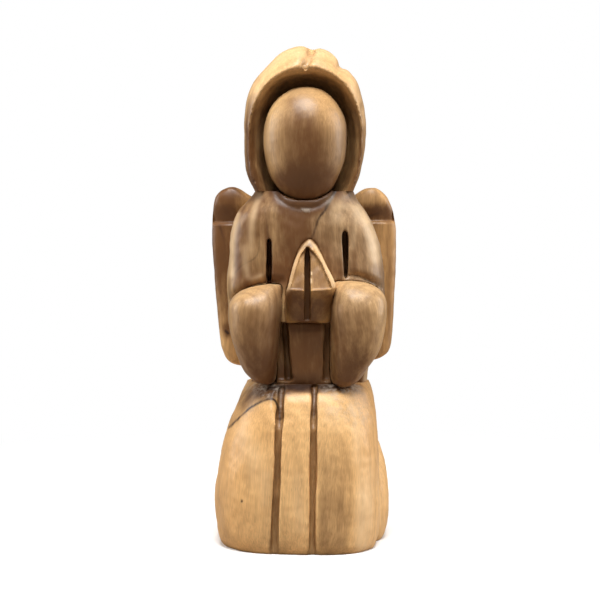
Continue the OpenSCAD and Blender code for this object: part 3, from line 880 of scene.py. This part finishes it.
class ANGEL_OT_hands(bpy.types.Operator):
    """Carve the praying hands with the slit between the palms"""

    bl_idname = "angel.hands"
    bl_label = "Praying Hands"

    def execute(self, context):
        sizes = context.scene.angel_sizes
        hands = as_object(carved_block(HANDS_ROWS, sides=112, levels=100),
                          "praying_hands_carving")
        resurface(hands, 0.5, smooth=1)
        # Facets let into the front, inside the bright ridge
        cut_away(hands, prism([(1.0, 150.4, -60, -27.0), (-2.2, 146.4, -60, -28.4),
                               (-5.6, 136.0, -60, -32.4), (-7.4, 129.8, -60, -34.0),
                               (1.0, 129.2, -60, -34.8)], -60, -30))
        cut_away(hands, prism([(1.2, 150.4, -60, -27.0), (1.2, 129.2, -60, -34.8),
                               (13.0, 130.0, -60, -33.8), (12.0, 133.4, -60, -33.0),
                               (8.2, 141.8, -60, -30.2), (4.6, 147.4, -60, -28.0)], -60, -30))
        w = sizes.palm_slit / 2
        cut_away(hands, prism([(1.0, 152.4), (1.1 - w, 145), (1.1 - w, 114), (1.1 + w, 114),
                               (1.1 + w, 145)], -60, -23.5))
        resurface(hands, 0.42, smooth=2)
        hand_worked(hands, 41, coarse=0.12, fine=0.06)
        slice_and_bore(hands, [((0, CHEST_Y, 0), (0, 1, 0))], "hands_dowel")
        paint_stain_and_light(hands, "heart_and_shade", [
            # Painted shade on the wrists, under the overhang of the facets
            ([(-8, 122, 1), (0, 118, 1), (11, 121, 0.75)], 8.6, 0.8, 5.0),
            # The two facets inside the ridge are darkened
            ([(-2, 142, 0.6), (-3, 134, 1), (-3, 130, 1)], 3.4, 0.5, 2.5),
            ([(4, 144, 0.7), (7, 133, 1)], 5.0, 0.55, 2.5),
            # Painted shade down the slit between the palms
            ([(1.1, -22, 150, 1), (1.1, -22, 114, 1)], 7.0, 0.9, 8.0)])
        paint_stain_and_light(hands, "pale", [
            # Painted highlight along the ridge of the hands; the small dots after it are whitish specks
            ([(-9.3, 130.4, 0.7), (-6.6, 141, 1), (-3.4, 149, 1), (0.8, 153, 1), (3.4, 153, 1),
              (7, 149, 1), (11, 141, 1), (15, 132, 0.8)], 1.6, 0.9, 3.0),
            ([(2.9, 133, 1), (2.9, 134.4, 1)], 0.5, 1.0, 2.0),
            ([(3.1, 137, 1), (3.0, 137.8, 1)], 0.4, 1.0, 2.0),
            ([(11, 134.6, 1), (10.8, 135.2, 1)], 0.4, 0.8, 2.0)])
        finish_piece(hands, "praying_hands", olive_wood(
            "olive_hands", pith=(30, 60), brownness=0.40, streaks=0.8, rings=0.4, tone=0.85,
            seed=5.0))
        return {"FINISHED"}


def head_rows(width, grow=0.0):
    """The plain oval head, with its widest part above the middle and a blunt chin."""
    low, high, widest = 171.9, 229.4, 0.58
    rows = []
    for i in range(25):
        t = (1 - math.cos(math.radians(7.5 * i))) / 2
        if t < widest:
            share = (1 - ((widest - t) / (widest + 0.04)) ** 2.2) ** 0.6
        else:
            share = math.sqrt(max(1 - ((t - widest) / (1 - widest)) ** 2, 0.0))
        share = max(share, 0.02)
        z = low - grow + (high - low + 2 * grow) * t
        half = width / 2 * share + grow
        rows.append((z, -half, half, -9 - 20 * share - grow, -9 + 16 * share + grow, 2.1))
    return rows


class ANGEL_OT_head(bpy.types.Operator):
    """Turn the plain oval head"""

    bl_idname = "angel.head"
    bl_label = "Head"

    def execute(self, context):
        sizes = context.scene.angel_sizes
        head = as_object(carved_block(head_rows(sizes.head_width), sides=128, levels=120),
                         "head_carving")
        resurface(head, sizes.grain, smooth=3)
        hand_worked(head, 51, coarse=0.2, fine=0.03)
        slice_and_bore(head, [((0, 0, CHIN_Z), (0, 0, -1))], "neck_dowel")
        paint_stain_and_light(head, "heart_and_shade", [
            # Painted reflection of the dark space in front, down the middle of the face, on brown wood
            ([(-3, 219, 0.35), (-2, 210, 0.7), (0, 197, 0.9), (0, 184, 1), (0, 172, 1)], 10.5,
             0.95, 2.4),
            # Painted shade across the underside of the chin
            ([(-9, 182, 0.9), (10, 182, 0.9)], 7.5, 0.85, 2.5),
            ([(-17, 196, 0.6), (-16, 210, 0.3)], 5.0, 0.3, 2.0),
            ([(-6, 221, 0.8), (-2, 214, 0.5)], 3.5, 0.35, 2.0),
            ([(9, 205, 0.5), (10, 196, 0.7), (8, 188, 0.7)], 4.0, 0.4, 2.0)])
        finish_piece(head, "head", olive_wood(
            "olive_head", pith=(4, 40), brownness=0.30, streaks=0.9, rings=0.25, drab=1.0,
            tone=0.76, seed=6.0))
        return {"FINISHED"}


class ANGEL_OT_hood(bpy.types.Operator):
    """Carve the hood and its hollow"""

    bl_idname = "angel.hood"
    bl_label = "Hood"

    def execute(self, context):
        sizes = context.scene.angel_sizes
        bm = carved_block(HOOD_ROWS)
        slice_off(bm, (0, RIM_Y, 0), (0, -1, 0))
        hood = as_object(bm, "hood_carving")
        cut_away(hood, carved_block(HOLLOW_ROWS, sides=128, levels=60, along="Y"))
        resurface(hood, sizes.grain, smooth=2)
        # Notch over the brow, and the waved edge at the figure's left
        dent(hood, [(3.4, 0, 250, 0.8), (3.0, -9, 247.5, 1), (1.6, -15, 243.5, 1),
                    (-0.6, -18.6, 238.6, 0.6)], 5.0, 2.4, hollow=1.4)
        dent(hood, [(3.4, 2, 250, 0.7), (3.0, -9, 247.0, 1), (1.4, -15.5, 242.5, 1),
                    (-0.6, -18.6, 238.2, 0.9)], 2.3, 3.6, hollow=0.9)
        dent(hood, [(17.5, -18, 238.5, 1), (19.0, -8, 241, 1), (19.5, 2, 241.5, 0.8)], 5.6, 2.0)
        dent(hood, [(30, -18, 219.5, 1), (30.5, -10, 219, 0.7)], 5.5, 1.5)
        dent(hood, [(31, -18, 211, -1), (31, -12, 211, -0.7)], 6.0, 0.9)
        dent(hood, [(-24.4, -18, 232.5, 1), (-24.4, -8, 233, 0.5)], 5.0, 0.8)
        hand_worked(hood, 61, coarse=0.22)
        slice_and_bore(hood, [((0, 0, NECK_Z), (0, 0, -1))], "hood_dowels")
        paint_stain_and_light(hood, "heart_and_shade", [
            # Painted shade in the hollow round the face
            ([(-21, -3, 176, 1), (-24, -3, 200, 1), (-19, -3, 225, 1), (0, -3, 235, 1),
              (19, -3, 225, 1), (24, -3, 200, 1), (21, -3, 176, 1)], 11.5, 0.5, 6.0),
            # Painted shade on the inner bevel and the lower front of the hood, both sides
            ([(-27, -15, 222, 0.5), (-27.5, -15, 205, 0.9), (-27, -15, 190, 1),
              (-24, -14, 177, 1)], 5.0, 0.95, 4.0),
            ([(-29, -4, 196, 0.5), (-28, -4, 184, 1), (-25, -4, 177, 1)], 8.0, 0.7, 3.0),
            ([(26.5, -15, 222, 0.3), (27.5, -15, 205, 0.6), (26.5, -15, 188, 0.9),
              (24, -14, 177, 1)], 4.4, 0.8, 4.0),
            ([(27, -4, 190, 0.3), (25, -4, 178, 0.8)], 6.0, 0.5, 3.0),
            # Painted shade in the notch over the brow
            ([(3.0, -8, 247, 0.6), (2.0, -14, 243.5, 1), (-0.4, -18, 239, 0.8)], 1.8, 0.65, 2.0)])
        paint_stain_and_light(hood, "pale", [
            # Painted highlight on the lit top band of the hood
            ([(-27, -10, 222, 0.5), (-21, -10, 236, 0.9), (-9, -9, 246.5, 1), (-3, -12, 245, 0.8)],
             6.0, 0.22, 2.0),
            ([(5, -12, 244, 0.7), (9, -8, 246, 0.9), (17, -8, 240, 0.7), (26, -10, 226, 0.6),
              (29.5, -10, 214, 0.8)], 4.6, 0.3, 2.0)])
        paint_stain_and_light(hood, "figure", [
            ([(-30, -14, 201.5, 0.7), (-26.6, -18.5, 200.8, 1), (-24.4, -15, 200.4, 0.7)], 0.6,
             0.9, 2.0),
            # Painted shade on the lower inner bevel, both sides
            ([(-28, -15, 204, 0.4), (-27.5, -15, 190, 0.9), (-24, -14, 177, 1)], 5.0, 0.42, 3.0),
            ([(27, -15, 196, 0.2), (26, -15, 184, 0.7), (23, -14, 177, 1)], 3.6, 0.3, 3.0)])
        finish_piece(hood, "hood", olive_wood(
            "olive_hood", pith=(-10, 60), tilt=(4, 0), brownness=0.18, rings=0.4, drab=0.12,
            tone=0.92, seed=7.0))
        return {"FINISHED"}


class ANGEL_OT_wings(bpy.types.Operator):
    """Carve the two folded wings"""

    bl_idname = "angel.wings"
    bl_label = "Wings"

    def execute(self, context):
        grain = context.scene.angel_sizes.grain
        for name, rows, step_z, seed in (("right_wing", RIGHT_WING_ROWS, 161.6, 8.0),
                                         ("left_wing", LEFT_WING_ROWS, 162.4, 9.0)):
            wing = as_object(carved_block(rows, sides=128, levels=120), name + "_carving")
            resurface(wing, grain, smooth=2)
            # The lobe rolls in above a crisp ledge that tops the long feathers
            co, no = places_of(wing), normals_of(wing)
            for side in (-1, 1):
                roll = np.where(co[:, 2] > step_z, 1 - soft_step(step_z, step_z + 10, co[:, 2]),
                                1 - soft_step(0, 0.9, step_z - co[:, 2]))
                outer = soft_step(22, 30, np.abs(co[:, 0])) if side < 0 else 1.0
                co[:, 1] -= side * 3.0 * roll * facing_side(no, side) * outer
            put_places(wing, co)
            hand_worked(wing, int(70 + seed), coarse=0.25)
            slice_and_bore(wing, [((0, BACK_Y, 0), (0, -1, 0))], "wing_dowels")
            if name == "right_wing":
                marks = [([(-40, 176, 1), (-43, 162, 1), (-43, 146, 1), (-42, 128, 0.8),
                           (-41, 112, 0.5)], 9.0, 0.95, 3.0),
                         ([(-40.5, 107, 1), (-40, 104, 1)], 2.6, 0.6, 2.0)]
                pith_x, brownness = -20, 0.55
                lines = [([(-44, 160, 0.8), (-41, 150, 0.6), (-42, 140, 0.3)], 1.2, 0.6, 2.0),
                         ([(-41, 105.6, 1), (-39.6, 104.4, 1)], 0.9, 0.8, 2.0)]
            else:
                # The first stroke is painted shade under the lobe, above the ledge
                marks = [([(34, 167, 1), (46, 166, 0.9)], 5.0, 0.8, 2.5),
                         ([(38, 176, 0.6), (43, 140, 0.8), (43, 120, 0.8), (40, 98, 0.7)], 9.0,
                          0.55, 3.0)]
                pith_x, brownness = 80, 0.4
                # Painted shade in the groove above the ledge
                lines = [([(33, 165, 0.8), (38, 166.5, 0.6)], 1.2, 0.6, 2.0)]
            paint_stain_and_light(wing, "heart_and_shade", marks)
            paint_stain_and_light(wing, "figure", lines)
            finish_piece(wing, name, olive_wood(
                "olive_" + name, pith=(pith_x, 60), brownness=brownness, streaks=1.1, rings=0.6,
                seed=seed))
        return {"FINISHED"}


class ANGEL_OT_dowels(bpy.types.Operator):
    """Give the hidden dowels their plain wood"""

    bl_idname = "angel.dowels"
    bl_label = "Dowels"

    def execute(self, context):
        wood = olive_wood("dowel_wood", pith=(200, 200), brownness=0.0, streaks=0.6, rings=0.1,
                          seed=12.0)
        for node in ("waist_dowels", "neck_dowel", "hood_dowels", "wing_dowels", "sleeve_dowels",
                     "hands_dowel"):
            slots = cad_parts[node].data.materials
            slots.clear()
            slots.append(wood)
        return {"FINISHED"}


# ---------------------------------------------------------------- stage


def soft_light(name, place, target, size, watts, colour=(1, 1, 1)):
    """A square soft box that points at the target."""
    lamp = bpy.data.lights.new(name, "AREA")
    lamp.shape = "RECTANGLE"
    lamp.size, lamp.size_y = size
    lamp.energy = watts
    lamp.color = colour
    obj = bpy.data.objects.new(name, lamp)
    obj.location = place
    aim = Vector(target) - Vector(place)
    obj.rotation_euler = aim.to_track_quat("-Z", "Y").to_euler()
    bpy.context.scene.collection.objects.link(obj)
    return obj


class ANGEL_OT_stage(bpy.types.Operator):
    """Set out the floor, the soft light and the camera"""

    bl_idname = "angel.stage"
    bl_label = "Stage"

    def execute(self, context):
        colours = context.scene.angel_colours
        bm = bmesh.new()
        bmesh.ops.create_grid(bm, x_segments=1, y_segments=1, size=3.0)
        floor = as_object(bm, "floor")
        g = Grain("floor_paper")
        place = g.node("ShaderNodeTexCoord").outputs["Object"]
        g.shader.inputs["Roughness"].default_value = 0.9
        shade = tuple(0.985 * c for c in colours.floor)
        # The paper looks pale, but throws back only as much light as a table top
        seen = g.node("ShaderNodeLightPath").outputs["Is Camera Ray"]
        paper = g.mix(g.noise(place, 40.0), colours.floor, shade)
        g.tree.links.new(g.mix(seen, colours.bounce, paper), g.shader.inputs["Base Color"])
        # Away from the statue the paper is lit up to plain white
        reach = g.node("ShaderNodeVectorMath", {0: place}, operation="LENGTH").outputs["Value"]
        glow = g.node("ShaderNodeEmission", {"Color": (1, 1, 1, 1), "Strength": 1.0}).outputs[0]
        lit = g.node("ShaderNodeMixShader", {
            0: g.math("MULTIPLY", g.ranged(reach, 0.10, 0.42), seen), 1: g.shader.outputs[0],
            2: glow}).outputs[0]
        g.tree.links.new(lit, g.tree.nodes["Material Output"].inputs["Surface"])
        floor.data.materials.append(g.material)

        soft_light("overhead_box", (0.0, -0.34, 0.95), (0, 0, 0.08), (0.5, 0.5), 15.0,
                   (0.97, 0.98, 1.0))
        soft_light("right_box", (-0.70, 0.06, 0.36), (0, 0, 0.12), (0.4, 0.6), 3.9)
        soft_light("left_box", (0.70, 0.06, 0.36), (0, 0, 0.12), (0.4, 0.6), 4.3)

        world = bpy.data.worlds.new("studio")
        world.use_nodes = True
        sky = world.node_tree.nodes["Background"]
        sky.inputs["Color"].default_value = (1, 1, 1, 1)
        path = world.node_tree.nodes.new("ShaderNodeLightPath")
        dim = world.node_tree.nodes.new("ShaderNodeMapRange")
        dim.inputs["To Min"].default_value = 0.12
        dim.inputs["To Max"].default_value = 1.0
        world.node_tree.links.new(path.outputs["Is Camera Ray"], dim.inputs["Value"])
        world.node_tree.links.new(dim.outputs[0], sky.inputs["Strength"])
        context.scene.world = world
        context.scene.view_settings.view_transform = "Standard"

        lens = bpy.data.cameras.new("camera")
        camera = bpy.data.objects.new("camera", lens)
        context.scene.collection.objects.link(camera)
        distance, height, aim_z, aim_x = 0.850, 0.170, 0.1226, -0.0025
        camera.location = (aim_x, -distance, height)
        aim = Vector((aim_x, 0, aim_z)) - camera.location
        camera.rotation_euler = aim.to_track_quat("-Z", "Y").to_euler()
        lens.sensor_width = 36.0
        lens.lens = 36.0 * distance / (600 * 0.506 * MM)
        lens.clip_start = 0.01
        context.scene.camera = camera
        return {"FINISHED"}


class ANGEL_PT_panel(bpy.types.Panel):
    """Lists the statue's pieces"""

    bl_idname = "ANGEL_PT_panel"
    bl_label = "Praying Angel"
    bl_space_type = "VIEW_3D"
    bl_region_type = "UI"
    bl_category = "Angel"

    def draw(self, context):
        column = self.layout.column()
        for operator in OPERATORS:
            column.operator(operator.bl_idname)
        for group in (context.scene.angel_sizes, context.scene.angel_colours):
            for name in group.__annotations__:
                column.prop(group, name)


OPERATORS = (
    ANGEL_OT_lower_robe,
    ANGEL_OT_torso,
    ANGEL_OT_sleeves,
    ANGEL_OT_hands,
    ANGEL_OT_head,
    ANGEL_OT_hood,
    ANGEL_OT_wings,
    ANGEL_OT_dowels,
    ANGEL_OT_stage,
)
CLASSES = (AngelSizes, AngelColours, *OPERATORS, ANGEL_PT_panel)


def register():
    for cls in CLASSES:
        bpy.utils.register_class(cls)
    bpy.types.Scene.angel_sizes = bpy.props.PointerProperty(type=AngelSizes)
    bpy.types.Scene.angel_colours = bpy.props.PointerProperty(type=AngelColours)


def unregister():
    del bpy.types.Scene.angel_colours
    del bpy.types.Scene.angel_sizes
    for cls in reversed(CLASSES):
        bpy.utils.unregister_class(cls)


def main():
    register()
    bpy.ops.angel.lower_robe()
    bpy.ops.angel.torso()
    bpy.ops.angel.sleeves()
    bpy.ops.angel.hands()
    bpy.ops.angel.head()
    bpy.ops.angel.hood()
    bpy.ops.angel.wings()
    bpy.ops.angel.dowels()
    bpy.ops.angel.stage()


if __name__ == "__main__":
    main()
